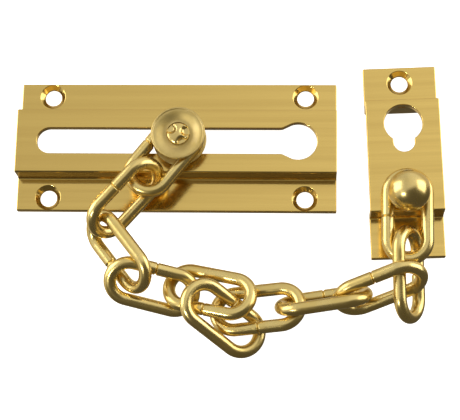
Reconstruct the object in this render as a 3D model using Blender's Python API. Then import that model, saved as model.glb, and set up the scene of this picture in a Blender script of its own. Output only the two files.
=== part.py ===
"""Door chain guard in solid brass.

A raised slide plate screws to the door, a small raised keeper plate screws to the frame,
and eleven welded wire links run between them. The first link hangs on a button that
slides along the plate's slot and leaves it through the round keyhole. The last link hangs
on the keeper's ball stud.

The guard lies on its back on a flat surface, z = 0. The origin is on the back of the slide
plate's near flange, halfway along it, +X runs along the plate towards its keyhole, and +Z
points out of the plates' faces. Lengths are in millimetres here and are turned to metres as
they are used.
"""

import math

import bmesh
import bpy
from mathutils import Matrix, Vector

MM = 0.001

# Slide plate: an extruded channel with a flange along each side.
PLATE_LENGTH = 100.0
PLATE_WIDTH = 41.7
PLATE_HEIGHT = 9.0
CHANNEL_WIDTH = 20.6
CHANNEL_WALL = 2.0
FLANGE_THICKNESS = 2.2
FACE_THICKNESS = 2.2
EDGE_ROUND = 0.5
PLATE_CENTRE_Y = 15.3

# The slot and the keyhole that the button leaves by.
SLOT_WIDTH = 8.2
SLOT_END_X = -43.4
SLOT_SHOULDER_X = 33.0
KEYHOLE_X = 38.0
KEYHOLE_DIAMETER = 11.8
SHOULDER_ANGLE = 110.0

# Countersunk screw holes, for a 4 mm (No. 8) countersunk wood screw.
SCREW_HOLE_DIAMETER = 5.3
SCREW_RIM_DIAMETER = 8.0
SCREW_LIP = 0.85
PLATE_SCREW_X = 40.2
PLATE_SCREW_Y = 16.6

# Keeper plate: a strip with a raised middle, open at its two long sides.
KEEPER_CENTRE = (70.8, 11.0)
KEEPER_TURN = 2.3
KEEPER_WIDTH = 22.8
KEEPER_LENGTH = 61.8
KEEPER_HEIGHT = 9.4
KEEPER_RAISED_LENGTH = 36.0
KEEPER_WALL = 1.8
KEEPER_SCREW_Y = 25.8
KEEPER_KEYHOLE_Y = 10.2
KEEPER_SLOT_END_Y = 1.0
KEEPER_SLOT_WIDTH = 6.6

# Button: a headed stud that carries a rear washer and a dished front washer.
BUTTON_X = 1.4
BUTTON_HEAD_LOW = 2.6
BUTTON_HEAD_EASE = 0.5
BUTTON_HEAD_DIAMETER = 11.0
BUTTON_SHOULDER_DIAMETER = 7.4
BUTTON_NECK_DIAMETER = 5.8
BUTTON_SPIGOT_DIAMETER = 3.8
BUTTON_PEEN_DIAMETER = 7.0
BUTTON_PEEN_EDGE = 0.4
BUTTON_PEEN_SLOPE = 0.6
BUTTON_PEEN_HEIGHT = 1.1
WASHER_DIAMETER = 16.6
WASHER_EASE = 0.2
REAR_WASHER_THICKNESS = 0.8
LINK_SPACE = 4.5

# Dished washer: its flat middle, and how far its rim stands out in front of its back.
DISH_BACK_RADIUS = 3.7
DISH_FLOOR_RADIUS = 4.0
DISH_FLOOR_THICKNESS = 1.0
DISH_RIM_ROUND = 0.3
DISH_RIM_WIDTH = 0.7
DISH_RIM_BACK = 1.8
DISH_RIM_FRONT = 2.2

# Ball stud, riveted through the keeper's face.
BALL_DIAMETER = 12.7
BALL_HEIGHT = 18.3
BALL_STUD_Y = -13.9
BALL_NECK_DIAMETER = 5.8
BALL_SHANK_DIAMETER = 3.2
BALL_RIVET_DIAMETER = 4.2
BALL_RIVET_HEIGHT = 1.4
BALL_RIVET_EASE = 0.4

# Chain link: round wire bent to straight sides and half-round ends.
WIRE_DIAMETER = 4.0
LINK_LENGTH = 30.0
LINK_WIDTH = 15.9

# How each link lies: the centre (x, y, z), then the heading from the button's end of the
# link to the keeper's end, the rise of that heading above level, and the roll that lifts
# the link's left side. Lengths in millimetres, angles in degrees.
LINK_LAY = (
    (-3.0, 9.5, 12.7, -128, 0, 0),
    (-14.4, -4.1, 12.5, -132, -4, -56),
    (-16.3, -20.2, 9.6, -52, 6, 51),
    (-6.1, -30.5, 6.6, -12, -10, 30),
    (11.6, -32.1, 7.3, -13, 12, -13),
    (15.8, -40.1, 7.3, -35, -22, -7),
    (26.2, -37.0, 5.9, 5, 9, -12),
    (46.0, -34.7, 8.6, 8, 6, -66),
    (62.9, -31.2, 10.9, 19, 17, 62),
    (71.6, -26.4, 8.6, 92, 11, 58),
    (71.3, -9.2, 11.4, 90, 4, 0),
)

GAP = 0.3
ROUND_SEGMENTS = 48
HOLE_SEGMENTS = 32
CORNER_STEPS = 3
LINK_END_STEPS = 10
LINK_SIDE_STEPS = 5
BALL_STEPS = 14
WIRE_RESOLUTION = 3
CUT_PAST = 1.0
MERGE_WITHIN = 0.0001
SHARP_ANGLE = 35.0
MARKER_SIZE = 4.0

POLISHED = {"colour": (0.80, 0.58, 0.24, 1.0), "roughness": 0.2}
SATIN = {"colour": (0.74, 0.60, 0.33, 1.0), "roughness": 0.38}


def clear_scene():
    """Removes whatever the startup scene holds."""
    for obj in list(bpy.data.objects):
        bpy.data.objects.remove(obj)


def brass(name, colour, roughness):
    """A lacquered brass finish."""
    material = bpy.data.materials.new(name)
    material.use_nodes = True
    shader = material.node_tree.nodes["Principled BSDF"]
    shader.inputs["Base Color"].default_value = colour
    shader.inputs["Metallic"].default_value = 1.0
    shader.inputs["Roughness"].default_value = roughness
    return material


def add_object(name, data, material=None):
    """Links a new object with this mesh or curve, and gives it its finish."""
    obj = bpy.data.objects.new(name, data)
    bpy.context.scene.collection.objects.link(obj)
    if material:
        data.materials.clear()
        data.materials.append(material)
    return obj


def add_empty(name, location_mm, parent=None):
    """An axis marker that a moving body hangs on. All markers stay unturned."""
    empty = bpy.data.objects.new(name, None)
    bpy.context.scene.collection.objects.link(empty)
    empty.empty_display_size = MARKER_SIZE * MM
    empty.location = Vector(location_mm) * MM
    if parent:
        empty.parent = parent
        empty.location -= world_place(parent)
    return empty


def world_place(empty):
    """Where an unturned marker stands, added up along its parents."""
    place = empty.location.copy()
    while empty.parent:
        empty = empty.parent
        place += empty.location
    return place


def hang(obj, empty, location_mm):
    """Parents an object to a marker, with its origin at this place in the frame."""
    obj.parent = empty
    obj.location = Vector(location_mm) * MM - world_place(empty)


def finish_mesh(bm, name):
    """Closes a bmesh into a mesh with its normals out and its round sides smooth."""
    bmesh.ops.remove_doubles(bm, verts=bm.verts, dist=MERGE_WITHIN * MM)
    bmesh.ops.recalc_face_normals(bm, faces=bm.faces)
    mesh = bpy.data.meshes.new(name)
    bm.to_mesh(mesh)
    bm.free()
    mesh.shade_smooth()
    mesh.set_sharp_from_angle(angle=math.radians(SHARP_ANGLE))
    return mesh


def arc(centre, radius, start, end, steps):
    """Points along an arc, ends included, angles in degrees."""
    turns = [math.radians(start + (end - start) * i / steps) for i in range(steps + 1)]
    return [(centre[0] + radius * math.cos(t), centre[1] + radius * math.sin(t)) for t in turns]


def add_prism(bm, outline, low, high, place):
    """Extrudes a flat outline from low to high; place turns (a, b, level) into a point."""
    bottom = [bm.verts.new(Vector(place(a, b, low)) * MM) for a, b in outline]
    face = bm.faces.new(bottom)
    grown = bmesh.ops.extrude_face_region(bm, geom=[face])["geom"]
    lift = (Vector(place(0, 0, high)) - Vector(place(0, 0, low))) * MM
    moved = [item for item in grown if isinstance(item, bmesh.types.BMVert)]
    bmesh.ops.translate(bm, verts=moved, vec=lift)


def add_turned(bm, profile, centre=(0.0, 0.0), segments=ROUND_SEGMENTS, closed=False):
    """Spins a profile of (radius, z) points round the upright line through centre."""
    verts = [bm.verts.new(Vector((centre[0] + r, centre[1], z)) * MM) for r, z in profile]
    ends = verts[1:] + verts[:1] if closed else verts[1:]
    edges = [bm.edges.new(pair) for pair in zip(verts, ends)]
    bmesh.ops.spin(
        bm,
        geom=verts + edges,
        cent=Vector((centre[0], centre[1], 0)) * MM,
        axis=(0, 0, 1),
        angle=math.tau,
        steps=segments,
        use_merge=True,
    )


def along_x(a, b, level):
    """A section drawn in Y and Z, extruded along X."""
    return (level, a, b)


def upright(a, b, level):
    """An outline drawn in X and Y, extruded along Z."""
    return (a, b, level)


def raised_section(half_width, half_raised, height, wall):
    """The section of a raised plate: flange, wall, face, wall, flange, hollow behind."""
    r = EDGE_ROUND
    corner = height - r
    face = height - FACE_THICKNESS
    inside = half_raised - wall
    right = arc((half_raised - r, corner), r, 0, 90, CORNER_STEPS)
    left = arc((-half_raised + r, corner), r, 90, 180, CORNER_STEPS)
    return (
        [(half_width, 0), (half_width, FLANGE_THICKNESS), (half_raised, FLANGE_THICKNESS)]
        + right
        + left
        + [(-half_raised, FLANGE_THICKNESS), (-half_width, FLANGE_THICKNESS), (-half_width, 0)]
        + [(-inside, 0), (-inside, face), (inside, face), (inside, 0)]
    )


def add_screw_hole(bm, centre):
    """The cutter for one countersunk hole through a flange."""
    shank = SCREW_HOLE_DIAMETER / 2
    rim = SCREW_RIM_DIAMETER / 2
    top = FLANGE_THICKNESS
    profile = [
        (0, -CUT_PAST),
        (shank, -CUT_PAST),
        (shank, SCREW_LIP),
        (rim, top),
        (rim, top + CUT_PAST),
        (0, top + CUT_PAST),
    ]
    add_turned(bm, profile, centre, HOLE_SEGMENTS)


def slot_outline():
    """The long slot, its splayed shoulders and the round keyhole, in the plate's own axes."""
    half = SLOT_WIDTH / 2
    keyhole = arc(
        (KEYHOLE_X, 0), KEYHOLE_DIAMETER / 2, -SHOULDER_ANGLE, SHOULDER_ANGLE, HOLE_SEGMENTS
    )
    round_end = arc((SLOT_END_X + half, 0), half, 90, 270, HOLE_SEGMENTS // 2)
    return (
        keyhole + [(SLOT_SHOULDER_X, half)] + round_end + [(SLOT_SHOULDER_X, -half)]
    )


def keeper_keyhole_outline():
    """The keeper's keyhole: the round hole above, the narrow slot below it."""
    half = KEEPER_SLOT_WIDTH / 2
    radius = KEYHOLE_DIAMETER / 2
    meet = math.degrees(math.asin(half / radius))
    round_hole = arc((0, KEEPER_KEYHOLE_Y), radius, -90 + meet, 270 - meet, HOLE_SEGMENTS)
    round_end = arc((0, KEEPER_SLOT_END_Y + half), half, 180, 360, HOLE_SEGMENTS // 2)
    return round_hole + round_end


def cut(body, cutter_mesh, name):
    """Cuts a hidden cutter's shape out of a body."""
    cutter = add_object(name, cutter_mesh)
    cutter.parent = body
    cutter.hide_render = True
    cutter.display_type = "WIRE"
    modifier = body.modifiers.new(name, "BOOLEAN")
    modifier.operation = "DIFFERENCE"
    modifier.solver = "EXACT"
    modifier.object = cutter


def make_slide_plate(material):
    """The plate on the door: channel, flanges, four screw holes, slot and keyhole."""
    bm = bmesh.new()
    section = raised_section(
        PLATE_WIDTH / 2, CHANNEL_WIDTH / 2, PLATE_HEIGHT, CHANNEL_WALL
    )
    add_prism(bm, section, -PLATE_LENGTH / 2, PLATE_LENGTH / 2, along_x)
    plate = add_object("slide_plate", finish_mesh(bm, "slide_plate"), material)
    plate.location = (0, PLATE_CENTRE_Y * MM, 0)

    holes = bmesh.new()
    for x in (-PLATE_SCREW_X, PLATE_SCREW_X):
        for y in (-PLATE_SCREW_Y, PLATE_SCREW_Y):
            add_screw_hole(holes, (x, y))
    under_face = PLATE_HEIGHT - FACE_THICKNESS - CUT_PAST
    add_prism(holes, slot_outline(), under_face, PLATE_HEIGHT + CUT_PAST, upright)
    cut(plate, finish_mesh(holes, "slide_plate_holes"), "slide_plate_holes")
    return plate


def make_keeper_plate(material):
    """The plate on the frame: raised middle, two screw holes, keyhole and stud hole."""
    bm = bmesh.new()
    section = raised_section(
        KEEPER_LENGTH / 2, KEEPER_RAISED_LENGTH / 2, KEEPER_HEIGHT, KEEPER_WALL
    )
    add_prism(bm, section, -KEEPER_WIDTH / 2, KEEPER_WIDTH / 2, along_x)
    plate = add_object("keeper_plate", finish_mesh(bm, "keeper_plate"), material)
    plate.rotation_euler = (0, 0, math.radians(KEEPER_TURN))

    holes = bmesh.new()
    for y in (-KEEPER_SCREW_Y, KEEPER_SCREW_Y):
        add_screw_hole(holes, (0, y))
    low = KEEPER_HEIGHT - FACE_THICKNESS - CUT_PAST
    high = KEEPER_HEIGHT + CUT_PAST
    add_prism(holes, keeper_keyhole_outline(), low, high, upright)
    stud_hole = BALL_SHANK_DIAMETER / 2 + GAP
    around = [(0, low), (stud_hole, low), (stud_hole, high), (0, high)]
    add_turned(holes, around, (0, BALL_STUD_Y), HOLE_SEGMENTS)
    cut(plate, finish_mesh(holes, "keeper_plate_holes"), "keeper_plate_holes")
    return plate


def button_levels():
    """The heights that the button's three pieces share."""
    washer_low = PLATE_HEIGHT + 2 * GAP
    washer_high = washer_low + REAR_WASHER_THICKNESS
    front = washer_high + LINK_SPACE
    return washer_low, washer_high, front


def make_button_stud(material):
    """The turned stud: inner head, shoulder in the slot, neck, spigot and peened end."""
    _, _, front = button_levels()
    head = BUTTON_HEAD_DIAMETER / 2
    shoulder = BUTTON_SHOULDER_DIAMETER / 2
    neck = BUTTON_NECK_DIAMETER / 2
    spigot = BUTTON_SPIGOT_DIAMETER / 2
    peen = BUTTON_PEEN_DIAMETER / 2
    head_high = PLATE_HEIGHT - FACE_THICKNESS - GAP
    peen_low = front + DISH_FLOOR_THICKNESS + GAP
    peen_high = peen_low + BUTTON_PEEN_HEIGHT
    profile = [
        (0, BUTTON_HEAD_LOW),
        (head - BUTTON_HEAD_EASE, BUTTON_HEAD_LOW),
        (head, BUTTON_HEAD_LOW + BUTTON_HEAD_EASE),
        (head, head_high),
        (shoulder, head_high),
        (shoulder, PLATE_HEIGHT + GAP),
        (neck, PLATE_HEIGHT + GAP),
        (neck, front - GAP),
        (spigot, front - GAP),
        (spigot, peen_low),
        (peen, peen_low),
        (peen, peen_low + BUTTON_PEEN_EDGE),
        (peen - BUTTON_PEEN_SLOPE, peen_high - WASHER_EASE),
        (0, peen_high),
    ]
    bm = bmesh.new()
    add_turned(bm, profile)
    return add_object("button_stud", finish_mesh(bm, "button_stud"), material)


def make_rear_washer(material):
    """The flat washer that rides on the slide's face, behind the first link."""
    low, high, _ = button_levels()
    bore = BUTTON_NECK_DIAMETER / 2 + GAP
    rim = WASHER_DIAMETER / 2
    profile = [
        (bore, low),
        (rim - WASHER_EASE, low),
        (rim, low + WASHER_EASE),
        (rim, high - WASHER_EASE),
        (rim - WASHER_EASE, high),
        (bore, high),
    ]
    bm = bmesh.new()
    add_turned(bm, profile, closed=True)
    return add_object("rear_washer", finish_mesh(bm, "rear_washer"), material)


def make_dished_washer(material):
    """The dished front washer, hollow side out, under the stud's peened end."""
    _, _, front = button_levels()
    bore = BUTTON_SPIGOT_DIAMETER / 2 + GAP
    rim = WASHER_DIAMETER / 2
    low = front + DISH_RIM_BACK
    high = front + DISH_RIM_FRONT
    floor = front + DISH_FLOOR_THICKNESS
    profile = [
        (bore, front),
        (DISH_BACK_RADIUS, front),
        (rim - DISH_RIM_ROUND, low - DISH_RIM_ROUND),
        (rim, low),
        (rim, high),
        (rim - DISH_RIM_ROUND, high + DISH_RIM_ROUND),
        (rim - DISH_RIM_WIDTH, high + WASHER_EASE),
        (DISH_FLOOR_RADIUS, floor),
        (bore, floor),
    ]
    bm = bmesh.new()
    add_turned(bm, profile, closed=True)
    return add_object("dished_washer", finish_mesh(bm, "dished_washer"), material)


def make_ball_stud(material):
    """The ball-headed stud: rivet tail, shank through the face, neck and ball."""
    tail_high = KEEPER_HEIGHT - FACE_THICKNESS - GAP
    tail_low = tail_high - BALL_RIVET_HEIGHT
    neck_low = KEEPER_HEIGHT + GAP
    ball = BALL_DIAMETER / 2
    neck = BALL_NECK_DIAMETER / 2
    rivet = BALL_RIVET_DIAMETER / 2
    shank = BALL_SHANK_DIAMETER / 2
    start = -math.degrees(math.acos(neck / ball))
    profile = [
        (0, tail_low),
        (rivet - BALL_RIVET_EASE, tail_low),
        (rivet, tail_low + BALL_RIVET_EASE),
        (rivet, tail_high),
        (shank, tail_high),
        (shank, neck_low),
        (neck, neck_low),
    ]
    profile += arc((0, BALL_HEIGHT), ball, start, 90, BALL_STEPS)
    bm = bmesh.new()
    add_turned(bm, profile)
    return add_object("ball_stud", finish_mesh(bm, "ball_stud"), material)


def link_path():
    """The wire's centre line round one link: two straight sides and two half rounds."""
    bend = (LINK_WIDTH - WIRE_DIAMETER) / 2
    straight = (LINK_LENGTH - WIRE_DIAMETER) / 2 - bend
    side = [straight - 2 * straight * i / LINK_SIDE_STEPS for i in range(1, LINK_SIDE_STEPS)]
    far_end = arc((straight, 0), bend, -90, 90, LINK_END_STEPS)
    near_end = arc((-straight, 0), bend, 90, 270, LINK_END_STEPS)
    return far_end + [(x, bend) for x in side] + near_end + [(-x, -bend) for x in side]


def link_curve(material):
    """The wire link as a closed tube, shared by all the links."""
    curve = bpy.data.curves.new("chain_link", "CURVE")
    curve.dimensions = "3D"
    curve.bevel_depth = WIRE_DIAMETER / 2 * MM
    curve.bevel_resolution = WIRE_RESOLUTION
    path = link_path()
    spline = curve.splines.new("POLY")
    spline.points.add(len(path) - 1)
    for point, (x, y) in zip(spline.points, path):
        point.co = (x * MM, y * MM, 0, 1)
    spline.use_cyclic_u = True
    spline.use_smooth = True
    curve.materials.append(material)
    return curve


def link_end(row, towards=1):
    """The middle of the wire at a link's far end, or with towards=-1 at its near end."""
    x, y, z, heading, rise, _ = row
    reach = towards * (LINK_LENGTH - WIRE_DIAMETER) / 2
    level = reach * math.cos(math.radians(rise))
    return (
        x + level * math.cos(math.radians(heading)),
        y + level * math.sin(math.radians(heading)),
        z + reach * math.sin(math.radians(rise)),
    )


def main():
    clear_scene()
    polished = brass("polished_brass", **POLISHED)
    satin = brass("satin_brass", **SATIN)

    make_slide_plate(polished)

    button_axis = (BUTTON_X, PLATE_CENTRE_Y, 0)
    button = add_empty("button_slide", button_axis)
    for piece in (
        make_button_stud(polished),
        make_rear_washer(polished),
        make_dished_washer(satin),
    ):
        hang(piece, button, button_axis)

    curve = link_curve(polished)
    hinge_place = (BUTTON_X, PLATE_CENTRE_Y, LINK_LAY[0][2])
    joint = button
    for number, row in enumerate(LINK_LAY, 1):
        joint = add_empty(f"hinge_{number:02d}", hinge_place, joint)
        link = add_object(f"link_{number:02d}", curve)
        hang(link, joint, row[:3])
        heading, rise, roll = (math.radians(angle) for angle in row[3:])
        link.rotation_euler = (roll, -rise, heading)
        hinge_place = link_end(row)

    turned = Matrix.Rotation(math.radians(KEEPER_TURN), 3, "Z")
    stud_place = Vector((*KEEPER_CENTRE, 0)) + turned @ Vector((0, BALL_STUD_Y, 0))
    keeper = add_empty("keeper_swivel", stud_place, joint)
    hang(make_keeper_plate(polished), keeper, (*KEEPER_CENTRE, 0))
    hang(make_ball_stud(polished), keeper, stud_place)


main()
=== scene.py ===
"""A door chain guard in polished, lacquered brass, lying loose on a pale table.

The slide plate, the captive button, eleven wire links and the keeper with its ball stud are
each worked out here as a surface, and each takes the place of its CAD node.
"""

import math

import bmesh
import bpy
import numpy as np
from mathutils import Matrix, Vector


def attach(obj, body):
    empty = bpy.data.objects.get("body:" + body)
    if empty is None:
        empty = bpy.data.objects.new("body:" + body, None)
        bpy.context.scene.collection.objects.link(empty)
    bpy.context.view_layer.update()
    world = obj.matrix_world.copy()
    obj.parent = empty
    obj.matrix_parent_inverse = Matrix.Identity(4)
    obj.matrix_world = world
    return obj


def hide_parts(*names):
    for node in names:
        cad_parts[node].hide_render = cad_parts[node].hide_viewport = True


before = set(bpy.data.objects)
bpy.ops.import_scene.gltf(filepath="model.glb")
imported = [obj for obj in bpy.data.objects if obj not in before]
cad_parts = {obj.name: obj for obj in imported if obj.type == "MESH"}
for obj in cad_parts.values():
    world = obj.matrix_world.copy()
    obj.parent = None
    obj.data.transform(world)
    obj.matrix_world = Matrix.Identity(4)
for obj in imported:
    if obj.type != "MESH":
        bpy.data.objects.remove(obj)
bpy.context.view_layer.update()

MM = 0.001
TURN = 2 * math.pi

# The slide plate, in millimetres. Its long axis lies at PLATE_Y.
PLATE_Y = 15.3
PLATE_LENGTH = 100.0
PLATE_HALF_WIDTH = 20.85
PLATE_HALF_RAISED = 10.3
PLATE_HALF_HOLLOW = 8.3
PLATE_HEIGHT = 9.0
PLATE_SCREWS = ((-40.2, -16.6), (-40.2, 16.6), (40.2, -16.6), (40.2, 16.6))
FLANGE = 2.2
FACE = 2.2

# The slot, between the centres of its round end and of its keyhole.
SLOT_HALF = 4.1
SLOT_LEFT = -39.3
SLOT_SHOULDER = 33.0
KEYHOLE_X = 38.0
KEYHOLE_RADIUS = 5.9
SHOULDER_ANGLE = 110.0

# The keeper, in its own axes before it is turned and moved into place.
KEEPER_PLACE = (70.8, 11.0)
KEEPER_TURN = math.radians(2.3)
KEEPER_LENGTH = 22.8
KEEPER_HALF_WIDTH = 30.9
KEEPER_HALF_RAISED = 18.0
KEEPER_HALF_HOLLOW = 16.2
KEEPER_HEIGHT = 9.4
KEEPER_SCREWS = ((0.0, -25.8), (0.0, 25.8))
KEEPER_KEYHOLE_Y = 10.2
KEEPER_SLOT_HALF = 3.3
KEEPER_SLOT_Y = 4.3
BALL_STUD_Y = -13.9

# Countersunk holes: the bore, the rim, and the height at which the 90 degree cone begins.
SCREW_RADIUS = 2.65
SCREW_RIM = 4.0
CONE_LOW = 0.8

# How far the long edges, the cut ends and the punched openings are eased. A cutter's rings
# stay OFF_FACE away from the faces they cut, and run CUT_PAST beyond them.
EDGE = 0.4
END_EASE = 0.34
PUNCH_EASE = 0.3
OFF_FACE = 0.01
CUT_PAST = 1.0

# Edges that turn more than this many degrees stay sharp.
SHARP = 32

# The button on the slide plate, and the ball on the keeper.
BUTTON = (1.4, 15.3)
PEEN_LOW = 16.9
BALL_RADIUS = 6.35
BALL_HEIGHT = 18.3

# The chain's wire. It is drawn 0.03 mm finer than the CAD's faceted wire, so that round
# neighbours stay clear of each other at the joints' limits.
WIRE_RADIUS = 1.97
BEND_RADIUS = 5.95
STRAIGHT_HALF = 7.05
SEAM_DEPTH = 0.42
SEAM_WIDTH = 0.2

# Each link's middle (x, y, z), heading, rise and roll, and the side that its butt joint is on.
LINKS = (
    (-3.0, 9.5, 12.7, -128, 0, 0, -1),
    (-14.4, -4.1, 12.5, -132, -4, -56, -1),
    (-16.3, -20.2, 9.6, -52, 6, 51, -1),
    (-6.1, -30.5, 6.6, -12, -10, 30, 1),
    (11.6, -32.1, 7.3, -13, 12, -13, -1),
    (15.8, -40.1, 7.3, -35, -22, -7, 1),
    (26.2, -37.0, 5.9, 5, 9, -12, -1),
    (46.0, -34.7, 8.6, 8, 6, -66, 1),
    (62.9, -31.2, 10.9, 19, 17, 62, 1),
    (71.6, -26.4, 8.6, 92, 11, 58, -1),
    (71.3, -9.2, 11.4, 90, 4, 0, 1),
)


# ---------------------------------------------------------------- surfaces


def closed_surface(name, grid, wrap_rows=False, capped=False, smooth_to=SHARP):
    """Joins a grid of points, in millimetres, into one closed mesh in metres.

    Each row of the grid is a ring that closes on itself. The rows join in order, the last to
    the first where wrap_rows is set, and where capped is set the first and last rows are each
    filled with one face. Points that coincide, as at a pole, are merged. Edges that turn
    more than smooth_to degrees stay sharp.
    """
    rows, columns = grid.shape[:2]
    index = np.arange(rows * columns).reshape(rows, columns)
    index = np.hstack([index, index[:, :1]])
    if wrap_rows:
        index = np.vstack([index, index[:1]])
    corners = (index[:-1, :-1], index[:-1, 1:], index[1:, 1:], index[1:, :-1])
    faces = np.stack(corners, axis=-1).reshape(-1, 4).tolist()
    if capped:
        faces += [index[0, :columns].tolist(), index[-1, :columns].tolist()]
    mesh = bpy.data.meshes.new(name)
    mesh.from_pydata((grid.reshape(-1, 3) * MM).tolist(), [], faces)
    shell = bmesh.new()
    shell.from_mesh(mesh)
    bmesh.ops.remove_doubles(shell, verts=shell.verts, dist=1e-5 * MM)
    bmesh.ops.dissolve_degenerate(shell, edges=shell.edges, dist=1e-6 * MM)
    bmesh.ops.recalc_face_normals(shell, faces=shell.faces)
    shell.to_mesh(mesh)
    shell.free()
    mesh.shade_smooth()
    mesh.set_sharp_from_angle(angle=math.radians(smooth_to))
    made = bpy.data.objects.new(name, mesh)
    bpy.context.scene.collection.objects.link(made)
    return made


def softened(points, reach, closed=True, steps=5):
    """Rounds the corners of an outline.

    Each corner P gives way to a circular arc that meets its two sides at the distance reach
    from P. With h half the corner's angle, its radius is reach tan h, and its centre is
    reach / cos h from P along the corner's bisector m. An open outline keeps its ends.
    """
    points = np.asarray(points, float)
    reach = np.array(np.broadcast_to(reach, len(points)), float)
    if not closed:
        reach[[0, -1]] = 0.0
    before = np.roll(points, 1, axis=0) - points
    after = np.roll(points, -1, axis=0) - points
    before /= np.linalg.norm(before, axis=1)[:, None]
    after /= np.linalg.norm(after, axis=1)[:, None]
    middle = before + after
    across = after - before
    h = np.arctan2(np.linalg.norm(across, axis=1), np.linalg.norm(middle, axis=1))
    middle /= np.linalg.norm(middle, axis=1)[:, None] + 1e-12
    across /= np.linalg.norm(across, axis=1)[:, None] + 1e-12
    centre = points + middle * (reach / np.cos(h))[:, None]
    a = (math.pi / 2 - h)[:, None] * np.linspace(-1, 1, steps + 1)
    swing = np.sin(a)[..., None] * across[:, None] - np.cos(a)[..., None] * middle[:, None]
    return (centre[:, None] + (reach * np.tan(h))[:, None, None] * swing).reshape(-1, 2)


def grown(loop, amount):
    """Moves each side of a closed anticlockwise outline outwards by an amount.

    A corner moves along the mean of its two sides' normals, by amount over the cosine of half
    the turn there.
    """
    side = np.roll(loop, -1, axis=0) - loop
    length = np.linalg.norm(side, axis=1)
    good = length > 1e-6
    normal = np.zeros_like(side)
    normal[good] = np.stack([side[good, 1], -side[good, 0]], axis=1) / length[good, None]
    last = np.maximum.accumulate(np.where(good, np.arange(len(loop)), -1))
    last[last < 0] = np.flatnonzero(good)[-1]
    normal = normal[last]
    mean = normal + np.roll(normal, 1, axis=0)
    return loop + amount * 2 * mean / np.sum(mean**2, axis=1)[:, None]


def turned(name, profile, centre, shape=None, segments=96):
    """A piece turned on a lathe: the profile (radius, height) carried round an upright axis.

    The point at angle a is (cx + r cos a, cy + r sin a, z). Where shape is given, it changes
    the heights as a function of (x, y, z) about the axis.
    """
    angle = np.linspace(0, TURN, segments, endpoint=False)
    radius, height = np.asarray(profile, float).T
    x = radius[:, None] * np.cos(angle)
    y = radius[:, None] * np.sin(angle)
    z = np.broadcast_to(height[:, None], x.shape)
    if shape:
        z = shape(x, y, z)
    return closed_surface(name, np.stack([x + centre[0], y + centre[1], z], axis=-1),
                          wrap_rows=radius[0] > 0)


def arc(centre, radius, start, end, steps):
    """Points of a circular arc, both ends included, the angles in degrees."""
    angle = np.radians(np.linspace(start, end, steps + 1))
    return np.stack([centre[0] + radius * np.cos(angle), centre[1] + radius * np.sin(angle)], 1)


# ---------------------------------------------------------------- the two plates


def raised_strip(name, length, half_width, half_raised, half_hollow, height):
    """An extruded strip with a raised middle, hollow behind, its ends eased.

    The section is an anticlockwise outline in (y, z) with rounded corners. It is carried along
    x. Over the last END_EASE at each end it shrinks by END_EASE (1 - cos a) while x moves on
    by END_EASE sin a, a quarter circle, and a flat cap closes it.
    """
    inner = height - FACE
    right = [(half_hollow, 0), (half_width, 0), (half_width, FLANGE), (half_raised, FLANGE),
             (half_raised, height)]
    reach = [EDGE, EDGE, EDGE, 0.5, 0.6]
    left = [(-y, z) for y, z in right[::-1]]
    hollow = [(-half_hollow, inner), (half_hollow, inner)]
    section = softened(right + left + hollow, reach + reach[::-1] + [0.4, 0.4])
    a = np.radians(np.linspace(90, 0, 6))
    ends = length / 2 - END_EASE * (1 - np.sin(a))
    shrink = END_EASE * (1 - np.cos(a))
    x = np.concatenate([-ends, ends[::-1]])
    rings = [grown(section, -amount) for amount in np.concatenate([shrink, shrink[::-1]])]
    grid = np.stack([np.column_stack([np.full(len(ring), at), ring])
                     for at, ring in zip(x, rings)])
    return closed_surface(name, grid, capped=True)


def opening(loop, levels):
    """The solid that an opening takes out: its outline carried upwards, grown at each level.

    levels is a list of (how far the outline is grown, z).
    """
    grid = np.stack([np.column_stack([grown(loop, amount), np.full(len(loop), z)])
                     for amount, z in levels])
    return closed_surface("opening", grid, capped=True)


def eased_levels(low, high):
    """Levels for a punched opening between two faces, with a rounded edge at each face.

    The rounding is a quarter circle: grown by PUNCH_EASE (1 - sin a) at PUNCH_EASE
    (1 - cos a) in from the face.
    """
    ease = PUNCH_EASE
    a = np.radians(np.linspace(0, 90, 5))
    foot = [(ease * (1 - math.sin(t)), low - OFF_FACE + ease * (1 - math.cos(t))) for t in a]
    lip = [(amount, low + high - z) for amount, z in foot[::-1]]
    return [(ease, low - CUT_PAST)] + foot + lip + [(ease, high + CUT_PAST)]


def screw_hole(centre):
    """A countersunk hole: a short straight bore, then a cone up to the rim, lips eased."""
    cone = SCREW_RIM - SCREW_RADIUS
    foot = [(0.15, -CUT_PAST), (0.15, -0.05), (0.03, 0.04), (0, 0.12)]
    bore = [(0, CONE_LOW), (0.04, CONE_LOW + 0.1)]
    lip = [(cone - 0.12, FLANGE - 0.12), (cone + 0.03, FLANGE - 0.02),
           (cone + 0.12, FLANGE + OFF_FACE), (cone + 0.12, FLANGE + CUT_PAST)]
    return opening(arc(centre, SCREW_RADIUS, 0, 360, 64)[:-1], foot + bore + lip)


def slot_outline():
    """The slide's slot: keyhole circle, splayed shoulders, straight sides, round end."""
    return np.concatenate([
        arc((KEYHOLE_X, 0), KEYHOLE_RADIUS, -SHOULDER_ANGLE, SHOULDER_ANGLE, 48),
        softened([(KEYHOLE_X - 2, 5.5), (SLOT_SHOULDER, SLOT_HALF), (0, SLOT_HALF)], 0.6,
                 closed=False)[6:-6],
        arc((SLOT_LEFT, 0), SLOT_HALF, 90, 270, 32),
        softened([(0, -SLOT_HALF), (SLOT_SHOULDER, -SLOT_HALF), (KEYHOLE_X - 2, -5.5)], 0.6,
                 closed=False)[6:-6],
    ])


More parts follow.
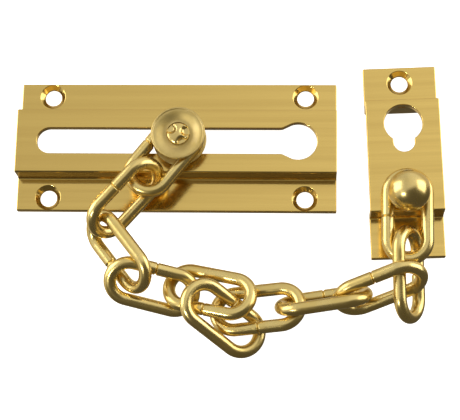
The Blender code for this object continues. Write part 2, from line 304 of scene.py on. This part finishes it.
def keeper_outline():
    """The keeper's keyhole: the round hole, and the narrow round-ended slot below it."""
    meet = math.degrees(math.asin(KEEPER_SLOT_HALF / KEYHOLE_RADIUS))
    return np.concatenate([
        arc((0, KEEPER_KEYHOLE_Y), KEYHOLE_RADIUS, -90 + meet, 270 - meet, 56),
        arc((0, KEEPER_SLOT_Y), KEEPER_SLOT_HALF, 180, 360, 28),
    ])


def carved(body, cutters):
    """Takes the cutters out of a body, and shades flat faces flat and round ones round."""
    for cutter in cutters:
        cut = body.modifiers.new("cut", "BOOLEAN")
        cut.operation = "DIFFERENCE"
        cut.solver = "EXACT"
        cut.object = cutter
    graph = bpy.context.evaluated_depsgraph_get()
    mesh = bpy.data.meshes.new_from_object(body.evaluated_get(graph))
    body.modifiers.clear()
    body.data = mesh
    for cutter in cutters:
        bpy.data.objects.remove(cutter)
    mesh.shade_smooth()
    mesh.set_sharp_from_angle(angle=math.radians(SHARP))
    shading = body.modifiers.new("shading", "WEIGHTED_NORMAL")
    shading.keep_sharp = True
    return body


def placed(piece, x, y, turn=0.0):
    """Turns a piece's mesh about the upright axis and moves it, leaving its object alone."""
    move = Matrix.Translation((x * MM, y * MM, 0)) @ Matrix.Rotation(turn, 4, "Z")
    piece.data.transform(move)
    return piece


def slide_plate():
    """The long plate with its slot, keyhole and four countersunk holes."""
    plate = raised_strip("slide_plate_brass", PLATE_LENGTH, PLATE_HALF_WIDTH,
                         PLATE_HALF_RAISED, PLATE_HALF_HOLLOW, PLATE_HEIGHT)
    slot = opening(slot_outline(), eased_levels(PLATE_HEIGHT - FACE, PLATE_HEIGHT))
    holes = [screw_hole(centre) for centre in PLATE_SCREWS]
    return placed(carved(plate, [slot] + holes), 0, PLATE_Y)


def keeper_plate():
    """The short plate with its keyhole, stud hole and two countersunk holes."""
    plate = raised_strip("keeper_plate_brass", KEEPER_LENGTH, KEEPER_HALF_WIDTH,
                         KEEPER_HALF_RAISED, KEEPER_HALF_HOLLOW, KEEPER_HEIGHT)
    levels = eased_levels(KEEPER_HEIGHT - FACE, KEEPER_HEIGHT)
    stud_hole = opening(arc((0, BALL_STUD_Y), 1.9, 0, 360, 48)[:-1], levels)
    holes = [screw_hole(centre) for centre in KEEPER_SCREWS]
    plate = carved(plate, [opening(keeper_outline(), levels), stud_hole] + holes)
    return placed(plate, *KEEPER_PLACE, KEEPER_TURN)


# ---------------------------------------------------------------- the button and the ball stud


def peened(x, y, z):
    """The stud's end, spread over the washer by three blows of a punch.

    Above PEEN_LOW, the height loses three pits, each exp(-(d^2 / reach)^2) millimetres for a
    distance d from its own middle, and the whole end falls off by the square of the radius.
    """
    pits = ((-2.1, 1.3), (2.3, 0.6), (1.4, -2.7))
    reach = 1.9
    fall = sum(np.exp(-(((x - px) ** 2 + (y - py) ** 2) / reach) ** 2) for px, py in pits)
    return z + np.where(z > PEEN_LOW, 0.09 - fall - 0.05 * (x**2 + y**2), 0.0)


def button_stud():
    """The stud: head behind the face, shoulder in the slot, neck, and peened front end."""
    stem = softened([(0, 2.6), (5.5, 2.6), (5.5, 6.5), (3.7, 6.5), (3.7, 9.3), (2.9, 9.3),
                     (2.9, 14.6), (1.9, 14.6), (1.9, 16.2), (3.5, 16.2), (3.5, 17.1),
                     (2.9, 17.24)],
                    [0, 0.4, 0.25, 0.2, 0.15, 0.15, 0.15, 0.1, 0.1, 0.2, 0.25, 0], closed=False)
    front = np.column_stack([np.linspace(2.9, 0, 24), np.full(24, 17.28)])
    return turned("button_stud_brass", np.concatenate([stem, front]), BUTTON, peened)


def rear_washer():
    """The flat washer behind the first link, its edges tumbled round."""
    section = [(3.2, 9.6), (8.3, 9.6), (8.3, 10.4), (3.2, 10.4)]
    return turned("rear_washer_brass", softened(section, [0.1, 0.3, 0.3, 0.1]), BUTTON)


def dished_washer():
    """The pressed front washer: a flat middle that sweeps up into a dish, with a rolled rim.

    The dish rises by s^2 (3 - 2 s), s the share of the way from the flat to the rim.
    """
    s = np.linspace(0, 1, 14)
    sweep = s**2 * (3 - 2 * s)
    front = np.column_stack([7.55 - 3.7 * s, 15.9 + 1.23 * (1 - sweep)])
    back = np.column_stack([3.7 + 4.2 * s, 14.92 + 1.38 * sweep])
    rim = softened([(7.9, 16.3), (8.3, 16.45), (8.3, 17.25), (7.8, 17.37), (7.55, 17.13)],
                   [0, 0.2, 0.3, 0.15, 0], closed=False)[6:-6]
    bore = [(2.2, 15.9), (2.2, 14.92)]
    return turned("dished_washer_brass", np.concatenate([back, rim, front, bore]), BUTTON)


def ball_stud():
    """The ball on its neck, with the shank through the keeper and the riveted tail."""
    place = Matrix.Rotation(KEEPER_TURN, 2) @ Vector((0, BALL_STUD_Y)) + Vector(KEEPER_PLACE)
    stem = softened([(0, 5.5), (2.1, 5.5), (2.1, 6.9), (1.6, 6.9), (1.6, 9.7), (2.9, 9.7),
                     (2.9, 12.65)], [0, 0.5, 0.15, 0.1, 0.1, 0.2, 0], closed=False)
    ball = arc((0, BALL_HEIGHT), BALL_RADIUS, -62.5, 90, 48)
    return turned("ball_stud_brass", np.concatenate([stem, ball]), place)


# ---------------------------------------------------------------- the links


def link_axes(heading, rise, roll):
    """A link's long, side and upright axes as rows, turned from its three angles in degrees."""
    turn = (Matrix.Rotation(math.radians(heading), 3, "Z")
            @ Matrix.Rotation(math.radians(-rise), 3, "Y")
            @ Matrix.Rotation(math.radians(roll), 3, "X"))
    return np.array(turn).T


def wire_path(seam_side):
    """Points, directions and lengths along a link's centre line, an oval of two straights and
    two half rounds.

    It starts in the middle of the side with the butt joint, where the steps are close
    together, as the cube of an even step.
    """
    even = np.linspace(-1, 1, 61)
    side = STRAIGHT_HALF * (0.35 * even + 0.65 * even**3)
    half_round = np.radians(np.linspace(-90, 90, 41)[1:-1])
    joint = np.stack([side, np.full(61, -BEND_RADIUS)], 1)
    far = np.stack([STRAIGHT_HALF + BEND_RADIUS * np.cos(half_round),
                    BEND_RADIUS * np.sin(half_round)], 1)
    opposite = np.stack([np.linspace(1, -1, 21) * STRAIGHT_HALF, np.full(21, BEND_RADIUS)], 1)
    path = np.concatenate([joint, far, opposite, -far])
    path[:, 1] *= -seam_side
    step = np.roll(path, -1, axis=0) - np.roll(path, 1, axis=0)
    direction = step / np.linalg.norm(step, axis=1)[:, None]
    length = np.concatenate([[0], np.cumsum(np.linalg.norm(np.diff(path, axis=0), axis=1))])
    return path, direction, length - length[30]


def wire_link(number, x, y, z, heading, rise, roll, seam_side):
    """One link: round wire carried along its centre line.

    The wire's radius dips by a narrow groove, SEAM_DEPTH exp(-(s / SEAM_WIDTH)^2), where its
    cut ends meet at s = 0, and is drawn in by 1% round the bends, where the mandrel held it.
    """
    path, direction, length = wire_path(seam_side)
    bend = np.clip(np.abs(path[:, 0]) - STRAIGHT_HALF, 0, None) / BEND_RADIUS
    radius = WIRE_RADIUS * (1 - 0.01 * bend) - SEAM_DEPTH * np.exp(-(length / SEAM_WIDTH) ** 2)
    around = np.linspace(0, TURN, 40, endpoint=False)
    normal = np.stack([direction[:, 1], -direction[:, 0]], 1)
    spread = radius[:, None] * np.cos(around)
    flat = path[:, None] + spread[..., None] * normal[:, None]
    lift = radius[:, None] * np.sin(around)
    local = np.concatenate([flat, lift[..., None]], axis=-1)
    grid = local @ link_axes(heading, rise, roll) + np.array([x, y, z])
    return closed_surface(f"wire_link_{number:02d}", grid, wrap_rows=True, smooth_to=60)


# ---------------------------------------------------------------- finishes


def linear(hex_colour):
    """A colour given as sRGB hex, turned to linear light."""
    part = [int(hex_colour[i:i + 2], 16) / 255 for i in (1, 3, 5)]
    part = [c / 12.92 if c <= 0.04045 else ((c + 0.055) / 1.055) ** 2.4 for c in part]
    return (*part, 1.0)


def add(tree, kind, links=None, **settings):
    """Adds one shader node. links maps a socket to a value or to another node's output."""
    made = tree.nodes.new("ShaderNode" + kind)
    for key, value in settings.items():
        setattr(made, key, value)
    for socket, value in (links or {}).items():
        if isinstance(value, bpy.types.NodeSocket):
            tree.links.new(value, made.inputs[socket])
        else:
            made.inputs[socket].default_value = value
    return made


def per_metre(millimetres):
    """How often a pattern repeats in a metre, from its size in millimetres."""
    return 1000.0 / millimetres


def brass(name, colours, roughness, patch, grain, grain_depth, turn=0.0, middle=(0, 0, 0)):
    """Yellow brass under clear lacquer: a smooth gold mirror, softened by how it was worked.

    colours are the light and the dark of its slow change of tone, as sRGB hex, and roughness
    its least and most, both in clouds whose size in millimetres along each axis is patch, as
    polishing and handling leave it. grain is the same for its fine marks, and grain_depth is
    how deep they are in millimetres. turn and middle set the marks square to the piece.
    """
    material = bpy.data.materials.new(name)
    material.use_nodes = True
    tree = material.node_tree
    shader = tree.nodes["Principled BSDF"]
    place = add(tree, "TexCoord").outputs["Object"]
    centred = add(tree, "Mapping", {"Vector": place, "Location": [c * MM for c in middle],
                                    "Rotation": (0, 0, turn)}, vector_type="TEXTURE")
    broad = add(tree, "Mapping", {"Vector": centred.outputs[0],
                                  "Scale": [per_metre(size) for size in patch]})
    cloud = add(tree, "TexNoise", {"Vector": broad.outputs[0], "Scale": 1.0,
                                   "Detail": 3.0, "Roughness": 0.55})
    tone = add(tree, "MapRange", {"Value": cloud.outputs[0], "From Min": 0.35,
                                  "From Max": 0.65})
    colour = add(tree, "Mix", {"Factor": tone.outputs[0], "A": linear(colours[0]),
                               "B": linear(colours[1])}, data_type="RGBA")
    tree.links.new(colour.outputs["Result"], shader.inputs["Base Color"])
    gloss = add(tree, "MapRange", {"Value": cloud.outputs[0], "From Min": 0.3,
                                   "From Max": 0.7, "To Min": roughness[0],
                                   "To Max": roughness[1]})
    tree.links.new(gloss.outputs[0], shader.inputs["Roughness"])
    fine = add(tree, "Mapping", {"Vector": centred.outputs[0],
                                 "Scale": [per_metre(size) for size in grain]})
    marks = add(tree, "TexNoise", {"Vector": fine.outputs[0], "Scale": 1.0, "Detail": 2.0})
    bump = add(tree, "Bump", {"Height": marks.outputs[0], "Strength": 1.0,
                              "Distance": grain_depth * MM})
    tree.links.new(bump.outputs[0], shader.inputs["Normal"])
    shader.inputs["Metallic"].default_value = 1.0
    shader.inputs["Coat Weight"].default_value = 0.5
    shader.inputs["Coat Roughness"].default_value = 0.1
    return material


# Brass extrusion, polished along its length: even gold, with faint lengthwise lines that the
# die and the polishing mop leave about half a millimetre apart.
extruded = dict(colours=("#E4C26A", "#DBB963"), roughness=(0.12, 0.20), patch=(120, 2.2, 2.2),
                grain=(60, 0.55, 0.55), grain_depth=0.006)
# Brass wire, drawn, bent, closed and tumbled: softly dented all over, so highlights spread.
tumbled = dict(colours=("#ECD286", "#E3C674"), roughness=(0.24, 0.31), patch=(9, 9, 9),
               grain=(1.8, 1.8, 1.8), grain_depth=0.03)
# Pressed sheet brass, tumbled to a satin: broad soft light with no clear reflection.
pressed = dict(colours=("#D6BD76", "#C8AE66"), roughness=(0.46, 0.55), patch=(5, 5, 5),
               grain=(0.6, 0.6, 0.6), grain_depth=0.008)
# Turned bar brass, polished on the lathe: a clear mirror.
lathe = dict(colours=("#E3C97F", "#DABD6E"), roughness=(0.25, 0.31), patch=(9, 9, 9),
             grain=(1.2, 1.2, 1.2), grain_depth=0.006)


def finish(piece, body, node, material):
    """Gives a piece its material, its body, and the CAD node that it stands for."""
    piece.data.materials.clear()
    piece.data.materials.append(material)
    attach(piece, body)
    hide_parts(node)


finish(slide_plate(), "slide", "slide_plate",
       brass("extruded_brass_slide", middle=(0, PLATE_Y, 0), **extruded))
finish(keeper_plate(), "keeper", "keeper_plate",
       brass("extruded_brass_keeper", middle=(*KEEPER_PLACE, 0), turn=KEEPER_TURN, **extruded))
turned_brass = brass("turned_bar_brass", **lathe)
pressed_brass = brass("pressed_sheet_brass", **pressed)
finish(button_stud(), "button", "button_stud", turned_brass)
finish(rear_washer(), "button", "rear_washer", pressed_brass)
finish(dished_washer(), "button", "dished_washer", pressed_brass)
finish(ball_stud(), "keeper", "ball_stud", turned_brass)
wire_brass = brass("drawn_wire_brass", **tumbled)
for number, row in enumerate(LINKS, 1):
    finish(wire_link(number, *row), f"chain_{number:02d}", f"link_{number:02d}",
           wire_brass)


# ---------------------------------------------------------------- table, light and camera


def table():
    """A wide pale table top, matt, just under the plates."""
    mesh = bpy.data.meshes.new("table")
    half = 2.0
    level = -0.3 * MM
    mesh.from_pydata([(-half, -half, level), (half, -half, level), (half, half, level),
                      (-half, half, level)], [], [(0, 1, 2, 3)])
    top = bpy.data.objects.new("table", mesh)
    bpy.context.scene.collection.objects.link(top)
    material = bpy.data.materials.new("white_laminate")
    material.use_nodes = True
    shader = material.node_tree.nodes["Principled BSDF"]
    shader.inputs["Base Color"].default_value = linear("#F8F8F6")
    shader.inputs["Roughness"].default_value = 0.7
    shader.inputs["Specular IOR Level"].default_value = 0.2
    shader.inputs["Emission Color"].default_value = (1, 1, 1, 1)
    shader.inputs["Emission Strength"].default_value = 1.0
    mesh.materials.append(material)
    top.visible_glossy = False


def softbox(name, place, size, power):
    """A soft rectangular light that faces the middle of the guard."""
    light = bpy.data.lights.new(name, "AREA")
    light.shape = "RECTANGLE"
    light.size, light.size_y = size
    light.energy = power
    lamp = bpy.data.objects.new(name, light)
    bpy.context.scene.collection.objects.link(lamp)
    aim = Vector((0.02, 0.0, 0.01)) - Vector(place)
    lamp.location = place
    lamp.rotation_euler = aim.to_track_quat("-Z", "Z").to_euler()


def room():
    """The light tent: pale overhead and at the back, dark where it is open at the front.

    The opening is towards (0.5, -1, 0), a little to the right of straight in front. Overhead
    it is brighter to the right than to the left. Below the horizon it is a warm mid tone, as
    a pale table top is where brass stands over it.
    """
    world = bpy.data.worlds.new("room")
    world.use_nodes = True
    tree = world.node_tree
    tree.nodes.clear()
    outward = add(tree, "TexCoord").outputs["Generated"]
    way = add(tree, "SeparateXYZ", {0: outward})
    across = add(tree, "MapRange", {"Value": way.outputs["X"], "From Min": -0.2,
                                    "From Max": 0.1})
    overhead = add(tree, "Mix", {"Factor": across.outputs[0], "A": (0.67, 0.67, 0.67, 1),
                                 "B": (0.90, 0.90, 0.90, 1)}, data_type="RGBA")
    under = add(tree, "MapRange", {"Value": way.outputs["Z"], "From Min": 0.0,
                                   "From Max": -0.15}, interpolation_type="SMOOTHSTEP")
    closed = add(tree, "Mix", {"Factor": under.outputs[0], "A": overhead.outputs["Result"],
                               "B": (0.60, 0.52, 0.36, 1)}, data_type="RGBA")
    towards = add(tree, "VectorMath", {0: outward, 1: (0.5, -1.0, 0.0)},
                  operation="DOT_PRODUCT")
    front = add(tree, "MapRange", {"Value": towards.outputs["Value"], "From Min": -0.05,
                                   "From Max": 0.28}, interpolation_type="SMOOTHSTEP")
    colour = add(tree, "Mix", {"Factor": front.outputs[0], "A": closed.outputs["Result"],
                               "B": (0.10, 0.09, 0.07, 1)}, data_type="RGBA")
    shade = add(tree, "Background", {"Color": colour.outputs["Result"], "Strength": 1.0})
    add(tree, "OutputWorld", {"Surface": shade.outputs[0]})
    bpy.context.scene.world = world


def camera():
    """A long lens above and in front of the guard, looking down at it."""
    data = bpy.data.cameras.new("camera")
    data.lens = 116.6
    data.sensor_width = 36.0
    data.clip_start = 0.01
    eye = bpy.data.objects.new("camera", data)
    bpy.context.scene.collection.objects.link(eye)
    eye.matrix_world = (Matrix.Translation((0.04173, -0.12257, 0.44901))
                        @ Matrix.Rotation(math.radians(0.344), 4, "Z")
                        @ Matrix.Rotation(math.radians(14.752), 4, "X")
                        @ Matrix.Rotation(math.radians(2.977), 4, "Y"))
    bpy.context.scene.camera = eye


table()
softbox("left_softbox", (-0.78, 0.22, 0.30), (0.8, 0.7), 4)
softbox("right_softbox", (0.83, 0.22, 0.30), (0.8, 0.7), 4)
softbox("front_lamp", (-0.45, -0.50, 0.62), (0.2, 0.04), 1.6)
room()
camera()
bpy.context.scene.view_settings.view_transform = "Standard"
